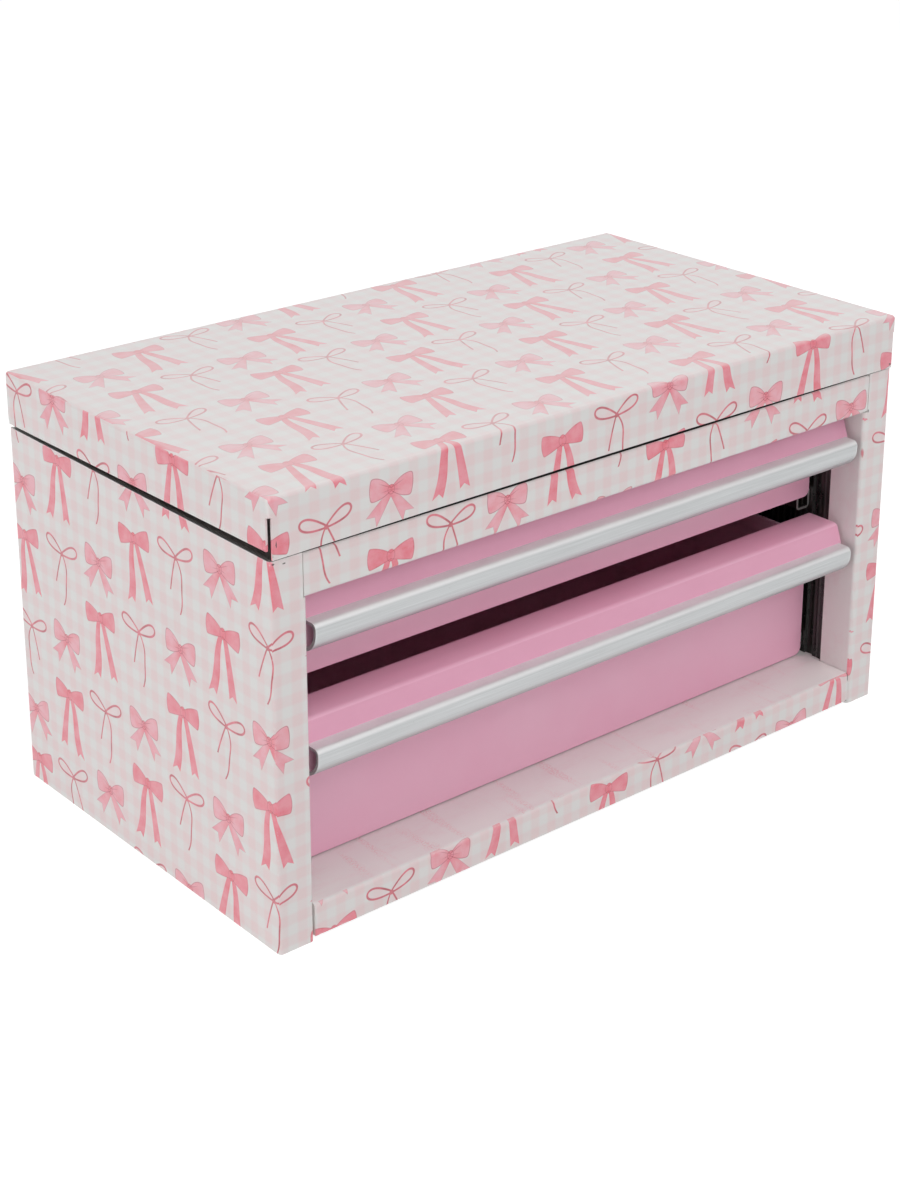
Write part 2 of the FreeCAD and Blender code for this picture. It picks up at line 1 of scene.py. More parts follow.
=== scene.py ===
import bpy
import numpy as np
from math import cos, radians, sin
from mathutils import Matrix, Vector


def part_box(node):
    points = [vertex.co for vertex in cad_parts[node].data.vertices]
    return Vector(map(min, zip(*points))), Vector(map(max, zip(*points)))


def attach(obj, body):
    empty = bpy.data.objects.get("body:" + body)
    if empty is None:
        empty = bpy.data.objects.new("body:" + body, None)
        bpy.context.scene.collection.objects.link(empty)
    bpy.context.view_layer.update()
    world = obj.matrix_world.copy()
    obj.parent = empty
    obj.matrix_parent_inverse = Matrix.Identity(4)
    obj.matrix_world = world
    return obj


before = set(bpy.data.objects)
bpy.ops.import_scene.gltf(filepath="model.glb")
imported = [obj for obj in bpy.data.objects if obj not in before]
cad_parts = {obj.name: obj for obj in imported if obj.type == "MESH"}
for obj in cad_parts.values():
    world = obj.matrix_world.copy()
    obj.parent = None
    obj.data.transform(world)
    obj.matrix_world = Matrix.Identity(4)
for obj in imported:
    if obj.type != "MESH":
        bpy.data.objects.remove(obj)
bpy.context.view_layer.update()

scene = bpy.context.scene
print("frame loaded:", len(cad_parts), "solids")

# ---- camera, floor and light

camera = {
    "azimuth": -39.942,       # degrees round the chest, from straight in front
    "elevation": 18.873,
    "place": (-0.52899, -0.62222, 0.42799),
    "lens": 67.484,           # 36 mm along the tall side
    "shiftDown": -0.18,
}
studio = {
    "floorSize": 9.0,
    "worldLight": 0.20,
    "floorColour": (0.88, 0.88, 0.88, 1),
    "overhead": {"place": (-0.10, -0.85, 1.50), "aim": (0, 0, 0.08), "size": 1.4, "power": 12.5},
    "leftSide": {"place": (-1.75, 0.25, 0.75), "aim": (0, 0, 0.08), "size": 1.2, "power": 10.5},
    "front": {"place": (-0.20, -1.60, 0.75), "aim": (0, 0, 0.08), "size": 1.2, "power": 3.2},
    "behind": {"place": (0.75, 0.75, 1.40), "aim": (0, 0, 0.08), "size": 1.2, "power": 3.2},
}


def makeCamera(style):
    eye = bpy.data.objects.new("photoCamera", bpy.data.cameras.new("photoCamera"))
    scene.collection.objects.link(eye)
    a, e = radians(style["azimuth"]), radians(style["elevation"])
    back = Vector((sin(a) * cos(e), -cos(a) * cos(e), sin(e)))
    eye.location = style["place"]
    eye.rotation_euler = (-back).to_track_quat("-Z", "Y").to_euler()
    eye.data.sensor_width = 36
    eye.data.lens = style["lens"]
    eye.data.shift_y = style["shiftDown"]
    scene.camera = eye


def makeLamp(name, style):
    lamp = bpy.data.objects.new(name, bpy.data.lights.new(name, "AREA"))
    scene.collection.objects.link(lamp)
    lamp.location = style["place"]
    lamp.rotation_euler = (Vector(style["aim"]) - lamp.location).to_track_quat("-Z", "Y").to_euler()
    lamp.data.size = style["size"]
    lamp.data.energy = style["power"]


def seenDirectly(tree):
    # 1 for rays from the camera, in mirrors and through glass: these see the pale background
    path = tree.nodes.new("ShaderNodeLightPath")
    share = Field(tree, path.outputs["Is Camera Ray"])
    share = share.most(Field(tree, path.outputs["Is Glossy Ray"]))
    return share.most(Field(tree, path.outputs["Is Transmission Ray"]))


# ---- arithmetic on node sockets, so that a pattern can be written as a formula

class Field:
    # a number that changes over the surface; each sum or product adds one Math node
    def __init__(self, tree, socket):
        self.tree, self.socket = tree, socket

    def math(self, operation, *others):
        node = self.tree.nodes.new("ShaderNodeMath")
        node.operation = operation
        for slot, value in zip(node.inputs, (self,) + others):
            give(self.tree, slot, value)
        return Field(self.tree, node.outputs[0])

    def __add__(self, other):
        return self.math("ADD", other)

    def __sub__(self, other):
        return self.math("SUBTRACT", other)

    def __rsub__(self, other):
        return self * -1.0 + other

    def __mul__(self, other):
        return self.math("MULTIPLY", other)

    def __truediv__(self, other):
        return self.math("DIVIDE", other)

    def __neg__(self):
        return self.math("MULTIPLY", -1.0)

    def size(self):
        return self.math("ABSOLUTE")

    def sign(self):
        return self.math("SIGN")

    def root(self):
        return self.math("SQRT")

    def wave(self):
        return self.math("SINE")

    def nearest(self):
        return self.math("ROUND")

    def least(self, other):
        return self.math("MINIMUM", other)

    def most(self, other):
        return self.math("MAXIMUM", other)

    def blend(self, other, soft):
        return self.math("SMOOTH_MIN", other, soft)

    def above(self, other):
        return self.math("GREATER_THAN", other)

    def clip(self):
        result = self.math("ADD", 0.0)
        result.socket.node.use_clamp = True
        return result

    def pick(self, low, high):
        # low where this is 0, high where it is 1
        return (high - low) * self + low

    __radd__ = __add__
    __rmul__ = __mul__


def give(tree, slot, value):
    if isinstance(value, Field):
        tree.links.new(value.socket, slot)
    elif isinstance(value, bpy.types.NodeSocket):
        tree.links.new(value, slot)
    elif isinstance(value, (tuple, list)) and slot.type == "RGBA":
        slot.default_value = tuple(value)[:3] + (1,)
    else:
        slot.default_value = value


def addNode(tree, kind, settings=(), **inputs):
    node = tree.nodes.new("ShaderNode" + kind)
    for name, value in dict(settings).items():
        setattr(node, name, value)
    for name, value in inputs.items():
        give(tree, node.inputs[name.replace("_", " ")], value)
    return node


def mixed(tree, low, high, share):
    # colour between low and high
    node = addNode(tree, "Mix", {"data_type": "RGBA"})
    give(tree, node.inputs[0], share)
    give(tree, node.inputs[6], low)
    give(tree, node.inputs[7], high)
    return node.outputs[2]


def joined(tree, x, y, z=0.0):
    node = addNode(tree, "CombineXYZ", X=x, Y=y, Z=z)
    return node.outputs[0]


def parted(tree, socket, scale=1.0):
    node = addNode(tree, "SeparateXYZ", Vector=socket)
    return [Field(tree, out) * scale if scale != 1 else Field(tree, out) for out in node.outputs]


def placeHere(tree):
    # the point on the piece in millimetres, and the way its surface faces, both in the piece's own axes
    node = addNode(tree, "TexCoord")
    return parted(tree, node.outputs["Object"], 1000.0), parted(tree, node.outputs["Normal"])


def noise(tree, vector, scale, detail=2.0, roughness=0.5):
    node = addNode(tree, "TexNoise", Vector=vector, Scale=scale, Detail=detail, Roughness=roughness)
    return Field(tree, node.outputs["Fac"])


def startGroup(name, inputs, outputs):
    tree = bpy.data.node_groups.new(name, "ShaderNodeTree")
    for label, value in inputs.items():
        kind = "NodeSocketVector" if isinstance(value, tuple) else "NodeSocketFloat"
        tree.interface.new_socket(label, in_out="INPUT", socket_type=kind).default_value = value
    for label, kind in outputs.items():
        tree.interface.new_socket(label, in_out="OUTPUT", socket_type="NodeSocket" + kind)
    source, sink = tree.nodes.new("NodeGroupInput"), tree.nodes.new("NodeGroupOutput")
    asked = {label: Field(tree, source.outputs[label]) for label in inputs}
    return tree, asked, sink


def useGroup(tree, group, **inputs):
    node = tree.nodes.new("ShaderNodeGroup")
    node.node_tree = group
    for name, value in inputs.items():
        give(tree, node.inputs[name.replace("_", " ")], value)
    return {out.name: Field(tree, out) for out in node.outputs}


def cover(depth, soft=0.18):
    # 1 inside a shape and 0 outside it, with an edge soft millimetres wide
    return (depth / soft + 0.5).clip()


def makeFoldedSheet():
    # where a point lies on the sheet before it was folded round the chest: the front, both sides and the back
    # are one strip, and the top carries on from the front; Printed is 1 on outer faces, Rim on a level edge
    tree, asked, sink = startGroup(
        "folded sheet",
        {"Half Width": 152.0, "Front": -82.95, "Back": 82.05, "Top": 999.0,
         "Rim Low": 999.0, "Rim High": 999.0, "Rim Facing": 1.0},
        {"Across": "Float", "Up": "Float", "Printed": "Float", "Rim": "Float", "Level": "Float"},
    )
    (x, y, z), (nx, ny, nz) = placeHere(tree)
    half, front, back, top = asked["Half Width"], asked["Front"], asked["Back"], asked["Top"]
    side, deep = x.sign(), y - front
    sideways = nx.size()
    onBack = (ny - sideways).above(0.0)
    onTop = (nz - sideways.most(ny.size())).above(0.0)
    turned = sideways.above(0.01)
    across = x + side * deep * turned
    across = onBack.pick(across, half * 2 + deep - x)
    across = onTop.pick(across, x)
    upright = (sideways - ny.size().most(nz.size())).above(0.0).most(onBack)
    up = upright.pick(z + deep, z)
    outward = (nx * side * x.size().above(half - 1.7)).most(-ny * (front + 1.7 - y).above(0.0))
    outward = outward.most(ny * (y - back + 1.7).above(0.0)).most(nz * (z - top + 1.7).above(0.0))
    rim = z.above(asked["Rim Low"]) * asked["Rim High"].above(z) * (nz * asked["Rim Facing"]).above(0.8)
    level = (nz * 1.8 - 0.6).clip()
    results = {"Across": across, "Up": up, "Printed": outward.above(0.3), "Rim": rim, "Level": level}
    for label, value in results.items():
        give(tree, sink.inputs[label], value)
    return tree


def makeEdgeWear():
    # Near is how close a point on a box-shaped piece is to that box's nearest edge: of its three distances to the
    # box's sides the middle one, and Worn is the same broken up by noise
    tree, asked, sink = startGroup(
        "edge wear",
        {"Low": (0.0, 0.0, 0.0), "High": (1.0, 1.0, 1.0), "Reach": 1.5, "Grain": 0.9},
        {"Near": "Float", "Worn": "Float"},
    )
    place, facing = placeHere(tree)
    low = parted(tree, asked["Low"].socket)
    high = parted(tree, asked["High"].socket)
    a, b, c = [(p - l).size().least((h - p).size()) for p, l, h in zip(place, low, high)]
    middle = a.least(b).most(a.most(b).least(c))
    near = (1 - middle / asked["Reach"]).clip()
    breaks = noise(tree, joined(tree, *place), asked["Grain"], 4.0, 0.65)
    worn = ((near * 0.55 + breaks - 0.92) * 6).clip()
    give(tree, sink.inputs["Near"], near)
    give(tree, sink.inputs["Worn"], worn)
    return tree


def makeHandling():
    # faint smears where the finish has been touched, and the slight ripple of paint on pressed sheet
    tree, asked, sink = startGroup(
        "handling and ripple",
        {"Smear Size": 0.03, "Ripple Size": 1.1},
        {"Smear": "Float", "Ripple": "Float", "Cloud": "Float"},
    )
    (x, y, z), facing = placeHere(tree)
    place = joined(tree, x, y, z)
    wide = noise(tree, place, asked["Smear Size"], 3.0, 0.6)
    bent = joined(tree, x + wide * 14, y * 2.2, z * 1.6 + wide * 9)
    smear = noise(tree, bent, asked["Smear Size"] * 2.3, 5.0, 0.7)
    ripple = noise(tree, place, asked["Ripple Size"], 2.0, 0.4)
    give(tree, sink.inputs["Smear"], smear)
    give(tree, sink.inputs["Ripple"], ripple)
    give(tree, sink.inputs["Cloud"], wide)
    return tree


def makeBrushing():
    # scratches that run along X: noise that is stretched a hundredfold along them, in two widths
    tree, asked, sink = startGroup(
        "brushed along",
        {"Width": 0.16, "Length": 26.0},
        {"Streak": "Float", "Scratch": "Float"},
    )
    (x, y, z), facing = placeHere(tree)
    along = x / asked["Length"]
    fine = noise(tree, joined(tree, along, y / asked["Width"], z / asked["Width"]), 1.0, 3.0, 0.6)
    wide = noise(tree, joined(tree, along * 0.6 + 7, y / asked["Width"] * 0.22, z / asked["Width"] * 0.22), 1.0, 2.0)
    give(tree, sink.inputs["Streak"], fine * 0.6 + wide * 0.4)
    give(tree, sink.inputs["Scratch"], fine)
    return tree


# ---- the printed film: ribbon bows strewn over a pale gingham

bowLayout = {"column": 25.8, "skew": 38.7, "repeat": 92.8, "places": (0.0, 29.7, 58.3), "tilt": 0.2, "stray": 2.4}
gingham = {"period": 8.14, "white": (0.840, 0.822, 0.808), "pink": (0.865, 0.705, 0.708), "softness": 1.1}
ink = {
    "pale": (0.93, 0.32, 0.39), "deep": (0.88, 0.125, 0.180), "line": (0.50, 0.055, 0.085),
    "puffPale": (0.94, 0.46, 0.53), "inside": (0.92, 0.71, 0.725), "string": (0.84, 0.185, 0.245),
}


def chance(tree, a, b):
    node = addNode(tree, "TexWhiteNoise", {"noise_dimensions": "2D"}, Vector=joined(tree, a, float(b)))
    return Field(tree, node.outputs["Value"])


def bowCell(tree, u, v, kind):
    # place within the nearest bow of one kind; bows stand in columns, each column a step higher than the last,
    # and each is turned, moved or mirrored a little by chance
    column = (u / bowLayout["column"]).nearest()
    x = u - column * bowLayout["column"]
    high = v - column * bowLayout["skew"] - bowLayout["places"][kind]
    turn = (high / bowLayout["repeat"]).nearest()
    stray = (chance(tree, column * 1.7 + turn * 4.3, kind + 7) - 0.5) * bowLayout["stray"]
    y = high - turn * bowLayout["repeat"] + stray
    tilt = (chance(tree, column * 3.1 + turn * 7.7, kind + 1) - 0.5) * bowLayout["tilt"]
    side = (chance(tree, column * 5.3 + turn * 2.9, kind + 4) - 0.5).sign()
    return (x + y * tilt) * side, y - x * tilt


def ribbonTail(x, t, centre, half, end):
    # t runs down from the knot; the end is cut to a notch
    across = (x - centre).size()
    return (half - across).least(end + across * 0.75 - t)


def longBow(x, y):
    # two flat loops between parabolas above and below, two long tails that widen downwards, an oval knot
    y = y - 9.5
    a = x.size()
    loop = (0.9 + a * 0.66 - a * a * 0.031 - y).blend(y + 1.1 + a * 0.36 - a * a * 0.012, 0.8)
    loop = loop.blend((y - 0.6) * (y - 0.6) * -0.05 + 9.9 - a, 1.2)
    t = -y
    left = ribbonTail(x, t, -(t * 0.29 + 0.9 - t * t * 0.0022), t * 0.045 + 1.15, 21.0)
    right = ribbonTail(x, t, t * 0.20 + 0.8 + (t * 0.26).wave() * 0.55, t * 0.05 + 1.15, 22.5)
    tails = left.most(right).least(t + 0.3)
    knot = 1.0 - ((x * x) * 0.36 + (y - 0.1) * (y - 0.1) * 0.22).root()
    return loop, tails, knot * 1.8


def puffBow(x, y):
    # full loops with short slanted tails under them
    y = y - 2.8
    a = x.size()
    upper = a * 1.12 - a * a * 0.073 + 0.5 - y
    lower = y + 0.4 + a * 0.74 - a * a * 0.048
    loop = upper.blend(lower, 0.8).blend(9.1 - a - (y - 1.2) * (y - 1.2) * 0.035, 1.4)
    along = a * 0.62 - y * 0.78
    across = (a * 0.78 + y * 0.62 + 0.3).size()
    short = (along * 0.15 + 0.9 - across).least(10.6 + across * 0.8 - along).least(along)
    knot = 1.0 - (x * x * 0.5 + y * y * 0.36).root()
    return loop, short, knot * 1.5


def puffFolds(x, y):
    # two creases in each loop that run out from the knot and die away
    a = x.size()
    y = y - 2.8
    high = cover(0.13 - (y - 0.5 - a * 0.42).size(), 0.25) * ((5.6 - a) * 0.5).clip()
    low = cover(0.11 - (y + a * 0.16).size(), 0.25) * ((4.4 - a) * 0.5).clip()
    return high.most(low)


def stringBow(x, y):
    # thin string: two slanted ovals as outlines, one long wavering end and one short
    y = y - 8.4
    a = x.size()
    p = a * 0.93 + y * 0.36 - 5.7
    q = y * 0.93 - a * 0.36 - 0.1
    high = p * 0.17 + 1.9
    high = high * high
    k = (p * p / 30.0 + q * q / high).root()
    steep = (p * p / 900.0 + q * q / (high * high)).root() + 0.02
    ring = (0.38 - (k * (k - 1.0) / steep).size()).least((k - 0.5) * 3)
    t = -y
    left = 0.37 - (x + 0.4 + (t * 0.16).wave() * 2.6 + (t * 0.42).wave() * 0.5).size()
    left = left.least(t).least(20.5 - t)
    right = 0.37 - (x - 0.3 - t * 0.42 + t * t * 0.006).size()
    right = right.least(t).least(12.5 - t)
    knot = 0.95 - (x * x + y * y).root()
    return ring.most(left).most(right).most(knot), 1.0 - k


def makeBowPrint():
    tree, asked, sink = startGroup(
        "bows over gingham",
        {"Across": 0.0, "Up": 0.0, "Fade": 0.0},
        {"Colour": "Color", "Ink": "Float"},
    )
    u, v = asked["Across"], asked["Up"]
    place = joined(tree, u, v)
    g = gingham["period"]
    bands = [cover((((w / g) - (w / g).nearest()).size() - 0.25) * g, gingham["softness"]) for w in (u, v)]
    strength = 1 - asked["Fade"]
    mottle = noise(tree, place, 0.35, 3.0, 0.6) * 0.5 + 0.75
    ground = mixed(tree, gingham["white"], gingham["pink"], (bands[0] + bands[1]) * mottle * (strength * 0.5))
    colour = ground
    wash = noise(tree, place, 0.2, 2.0, 0.5)
    wash = ((wash - 0.5) * 2.6 + 0.5).clip()
    fine = noise(tree, place, 1.1, 4.0, 0.65)
    pool = ((fine - 0.5) * 2.2).clip()

    x, y = bowCell(tree, u, v, 0)
    loop, tails, knot = longBow(x, y)
    whole = loop.most(tails)
    edge = 1 - (whole / 0.55).clip()
    tone = (wash * 0.75 + pool * 0.5 + edge * 0.25 + (1 - x.size() / 4).clip() * 0.35 - 0.1).clip()
    shape = cover(whole.most(knot))
    colour = mixed(tree, colour, mixed(tree, ink["pale"], ink["deep"], tone), shape * 0.96)
    line = cover(0.15 - knot.size()) * 0.35 + cover(0.13 - loop.size()) * (wash * 0.3 + 0.3)
    colour = mixed(tree, colour, ink["line"], line)
    painted = shape

    x, y = bowCell(tree, u, v, 1)
    loop, short, knot = puffBow(x, y)
    tone = (wash * 0.5 + pool * 0.4 + (1 - x.size() / 3.2).clip() * 0.55 - 0.1).clip()
    shape = cover(loop.most(short).most(knot))
    colour = mixed(tree, colour, mixed(tree, ink["puffPale"], ink["deep"], tone), shape * 0.95)
    line = (cover(0.15 - loop.size()) + cover(0.12 - knot.size())) * 0.6
    line = line.most(cover(0.10 - short.size()) * cover(-loop) * 0.35)
    line = line.most(puffFolds(x, y) * cover(loop) * 0.55)
    colour = mixed(tree, colour, ink["line"], line.clip())
    painted = painted.most(shape)

    x, y = bowCell(tree, u, v, 2)
    string, inside = stringBow(x, y)
    colour = mixed(tree, colour, ink["inside"], cover(inside, 0.3) * 0.45)
    shape = cover(string)
    colour = mixed(tree, colour, mixed(tree, ink["string"], ink["line"], wash), shape * 0.92)
    colour = mixed(tree, ground, colour, strength)
    give(tree, sink.inputs["Colour"], colour)
    give(tree, sink.inputs["Ink"], painted.most(shape))
    return tree


foldedSheet = makeFoldedSheet()
edgeWear = makeEdgeWear()
handling = makeHandling()
brushing = makeBrushing()
bowPrint = makeBowPrint()
print("pattern groups made")


# ---- materials

def startMaterial(name):
    material = bpy.data.materials.new(name)
    material.use_nodes = True
    tree = material.node_tree
    return material, tree, tree.nodes["Principled BSDF"]


def boxOf(*nodes):
    # lowest and highest corner of some solids, in millimetres
    corners = [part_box(node) for node in nodes]
    low = [min(c[0][i] for c in corners) * 1000 for i in range(3)]
    high = [max(c[1][i] for c in corners) * 1000 for i in range(3)]
    return tuple(low), tuple(high)


def applyFinish(tree, shader, colour, roughness, height, metallic=None, strength=0.3, distance=0.0001):
    give(tree, shader.inputs["Base Color"], colour)
    give(tree, shader.inputs["Roughness"], roughness)
    if metallic is not None:
        give(tree, shader.inputs["Metallic"], metallic)
    bump = addNode(tree, "Bump", Strength=strength, Distance=distance, Height=height)
    give(tree, shader.inputs["Normal"], bump.outputs[0])


printedStyle = {
    "plain": (0.87, 0.84, 0.82), "plainPink": (0.86, 0.76, 0.76), "worn": (0.95, 0.92, 0.91),
    "bare": (0.50, 0.49, 0.48), "gapShade": (0.010, 0.009, 0.008), "mark": (0.05, 0.04, 0.035),
    "drawerReflection": (0.84, 0.42, 0.46),
    "roughness": 0.36, "plainRoughness": 0.46, "topSheenFade": 0.34, "coat": 0.4, "coatRoughness": 0.16,
}


def smallMarks(tree, places):
    # near-black ovals painted on the front face at the listed places by gaps, seams and corners: an oval round each
    # (x, z, half width, half height)
    (x, y, z), facing = placeHere(tree)
    breaks = noise(tree, joined(tree, x, y, z), 2.4, 2.0) * 0.9 + 0.5
    total = None
    for cx, cz, wide, high in places:
        across, along = (x - cx) / wide, (z - cz) / high
        oval = cover(1 - (across * across + along * along).root() * breaks, 0.4)
        total = oval if total is None else total.most(oval)
    return total * (facing[1] * -1.0).above(0.3)


def paintedDrawerReflection(tree):
    # painted reflection of the pink drawers on a level face: pink specks in streaks that run back from its front edge
    (x, y, z), facing = placeHere(tree)
    streak = ((noise(tree, joined(tree, x / 8, y / 60, 4.0), 1.0, 2.0) - 0.56) * 11).clip()
    specks = ((noise(tree, joined(tree, x, y), 1.5, 3.0, 0.7) - 0.47) * 8).clip()
    return streak * specks * facing[2].above(0.8) * 0.6


def printedSheet(name, nodes, size, rimColour, rimMetal, marks=(), drawerReflection=False):
    style = printedStyle
    material, tree, shader = startMaterial(name)
    sheet = useGroup(tree, foldedSheet, **size)
    # on level faces the print is washed out towards its pale ground: a painted sheen on the top
    pattern = useGroup(tree, bowPrint, Across=sheet["Across"], Up=sheet["Up"], Fade=sheet["Level"] * style["topSheenFade"])
    low, high = boxOf(*nodes)
    wear = useGroup(tree, edgeWear, Low=low, High=high, Reach=1.6, Grain=0.5)
    touch = useGroup(tree, handling, Smear_Size=0.02, Ripple_Size=0.9)
    plain = mixed(tree, style["plain"], style["plainPink"], ((touch["Smear"] - 0.5) * 4).clip())
    printed = mixed(tree, pattern["Colour"].socket, style["worn"], wear["Worn"] * 0.5)
    colour = mixed(tree, plain, printed, sheet["Printed"])
    if rimColour:
        colour = mixed(tree, colour, style[rimColour], sheet["Rim"])
    # pink streaks on the opening's floor: a painted reflection of the drawers
    if drawerReflection:
        colour = mixed(tree, colour, style["drawerReflection"], paintedDrawerReflection(tree))
    if marks:
        colour = mixed(tree, colour, style["mark"], smallMarks(tree, marks) * 0.85)
    roughness = sheet["Printed"].pick(style["plainRoughness"], style["roughness"]) + (touch["Smear"] - 0.5) * 0.16
    roughness = roughness + wear["Worn"] * 0.2 - pattern["Ink"] * sheet["Printed"] * 0.03
    height = touch["Ripple"] * 0.12 + touch["Cloud"] * 1.6 + pattern["Ink"] * sheet["Printed"] * 0.05 - wear["Worn"] * 0.3
    metallic = sheet["Rim"] * rimMetal if rimMetal else None
    applyFinish(tree, shader, colour, roughness, height, metallic=metallic, strength=0.25)
    give(tree, shader.inputs["Coat Weight"], sheet["Printed"] * style["coat"])
    shader.inputs["Coat Roughness"].default_value = style["coatRoughness"]
    return material


plainStyle = {"colour": (0.83, 0.76, 0.75), "tint": (0.80, 0.70, 0.705), "worn": (0.60, 0.58, 0.57), "roughness": 0.5}


def plainSheet(name, nodes):
    style = plainStyle
    material, tree, shader = startMaterial(name)
    low, high = boxOf(*nodes)
    wear = useGroup(tree, edgeWear, Low=low, High=high, Reach=1.2, Grain=0.6)
    touch = useGroup(tree, handling, Smear_Size=0.025, Ripple_Size=1.4)
    colour = mixed(tree, style["colour"], style["tint"], ((touch["Smear"] - 0.45) * 3).clip())
    colour = mixed(tree, colour, style["worn"], wear["Worn"] * 0.5)
    roughness = touch["Smear"] * 0.22 + (style["roughness"] - 0.1)
    applyFinish(tree, shader, colour, roughness, touch["Ripple"] * 0.5 + touch["Cloud"], strength=0.25)
    return material


enamelStyle = {
    "colour": (0.99, 0.55, 0.71), "deep": (0.98, 0.49, 0.665), "worn": (0.95, 0.68, 0.77), "slant": (0.88, 0.42, 0.58), "roughness": 0.38,
}


def pinkEnamel(name, nodes, shadeSlant=False):
    # shadeSlant: the slant over the pull gets a deeper pink, a painted shade
    style = enamelStyle
    material, tree, shader = startMaterial(name)
    low, high = boxOf(*nodes)
    wear = useGroup(tree, edgeWear, Low=low, High=high, Reach=1.4, Grain=0.7)
    touch = useGroup(tree, handling, Smear_Size=0.018, Ripple_Size=1.2)
    colour = mixed(tree, style["colour"], style["deep"], ((touch["Cloud"] - 0.42) * 2.5).clip())
    if shadeSlant:
        (x, y, z), facing = placeHere(tree)
        # painted shade: faces that lean up and forward are darkened towards the deeper pink, patchy with the smears
        slanted = ((facing[2] - 0.15) * 8).clip() * ((0.7 - facing[2]) * 8).clip() * ((-facing[1] - 0.5) * 8).clip()
        colour = mixed(tree, colour, style["slant"], slanted * (touch["Smear"] * 0.6 + 0.6).clip())
    # the pink lightens towards the pale worn tone in noisy patches of edge wear, and evenly near every edge and bend
    # as a painted sheen
    colour = mixed(tree, colour, style["worn"], (wear["Worn"] * 0.8).most(wear["Near"] * 0.25))
    roughness = (touch["Smear"] - 0.5) * 0.2 + style["roughness"] + wear["Worn"] * 0.15
    height = touch["Ripple"] * 0.35 + touch["Cloud"] * 2.0 - wear["Worn"] * 0.2
    applyFinish(tree, shader, colour, roughness, height, strength=0.3)
    shader.inputs["Coat Weight"].default_value = 0.12
    shader.inputs["Coat Roughness"].default_value = 0.14
    return material


aluminiumStyle = {
    "colour": (0.43, 0.442, 0.447), "bright": (0.575, 0.59, 0.597), "edge": (0.70, 0.715, 0.715),
    "nick": (0.14, 0.13, 0.13), "topHighlight": (0.80, 0.80, 0.80), "roughness": 0.42,
}


def brushedAluminium(name, nodes):
    style = aluminiumStyle
    material, tree, shader = startMaterial(name)
    low, high = boxOf(*nodes)
    wear = useGroup(tree, edgeWear, Low=low, High=high, Reach=0.9, Grain=1.4)
    grain = useGroup(tree, brushing, Width=0.16, Length=26.0)
    touch = useGroup(tree, handling, Smear_Size=0.03, Ripple_Size=1.5)
    colour = mixed(tree, style["colour"], style["bright"], ((grain["Streak"] - 0.3) * 2.4).clip())
    # painted highlight: the pull lightens towards the edges of its box, along its top and bottom
    colour = mixed(tree, colour, style["edge"], wear["Near"] * 0.4)
    (x, y, z), facing = placeHere(tree)
    nicks = noise(tree, joined(tree, x / 1.9, y / 0.35, z / 0.35), 1.0, 2.0, 0.5)
    colour = mixed(tree, colour, style["nick"], ((nicks - 0.765) * 30).clip() * 0.8)
    topHighlight = ((facing[2] - 0.25) * 3).clip() * (touch["Smear"] * 0.5 + 0.6).clip()  # painted highlight: upward faces are made pale and less metallic, patchy with the smears
    colour = mixed(tree, colour, style["topHighlight"], topHighlight)
    roughness = (grain["Streak"] - 0.5) * 0.3 + style["roughness"] + (touch["Smear"] - 0.5) * 0.12
    height = grain["Scratch"] + touch["Cloud"] * 0.6
    applyFinish(tree, shader, colour, roughness, height, metallic=1 - topHighlight * 0.85, strength=0.45, distance=0.00006)
    return material


blackStyle = {
    "colour": (0.011, 0.012, 0.011), "brown": (0.028, 0.022, 0.017), "worn": (0.10, 0.095, 0.09),
    "ribAndHighlight": (0.055, 0.058, 0.055), "cut": (0.66, 0.66, 0.64), "roughness": 0.30, "ribPitch": 3.1,
}


def blackSteel(name, nodes, ribs=False, cutFront=None):
    # ribs draws upright grooves at ribPitch with a painted highlight along each crest; ends that face forward beyond
    # cutFront are bare sheared metal
    style = blackStyle
    material, tree, shader = startMaterial(name)
    low, high = boxOf(*nodes)
    wear = useGroup(tree, edgeWear, Low=low, High=high, Reach=1.0, Grain=0.9)
    touch = useGroup(tree, handling, Smear_Size=0.035, Ripple_Size=0.9)
    grain = useGroup(tree, brushing, Width=0.7, Length=9.0)
    colour = mixed(tree, style["colour"], style["brown"], ((touch["Smear"] - 0.4) * 2.5).clip())
    colour = mixed(tree, colour, style["worn"], (wear["Worn"]).most((grain["Streak"] - 0.62).clip() * 2))
    roughness = (touch["Smear"] - 0.5) * 0.3 + style["roughness"] + wear["Worn"] * 0.1
    height = touch["Ripple"] * 0.8 + touch["Cloud"]
    metallic = None
    (x, y, z), facing = placeHere(tree)
    if ribs:
        ribAndHighlight = (y * (2 * np.pi / style["ribPitch"])).wave()
        # painted highlight: the crests of the ribs are lightened
        colour = mixed(tree, colour, style["ribAndHighlight"], (ribAndHighlight * 1.6 - 0.5).clip())
        height = height + ribAndHighlight * 4
    if cutFront is not None:
        bare = (cutFront - y).above(0.0) * (facing[1] * -1.0).above(0.5)
        colour = mixed(tree, colour, style["cut"], bare)
        metallic = bare * 0.7
    applyFinish(tree, shader, colour, roughness, height, metallic=metallic, strength=0.35)
    return material


platedStyle = {"colour": (0.52, 0.53, 0.53), "warm": (0.60, 0.57, 0.50), "roughness": 0.36}


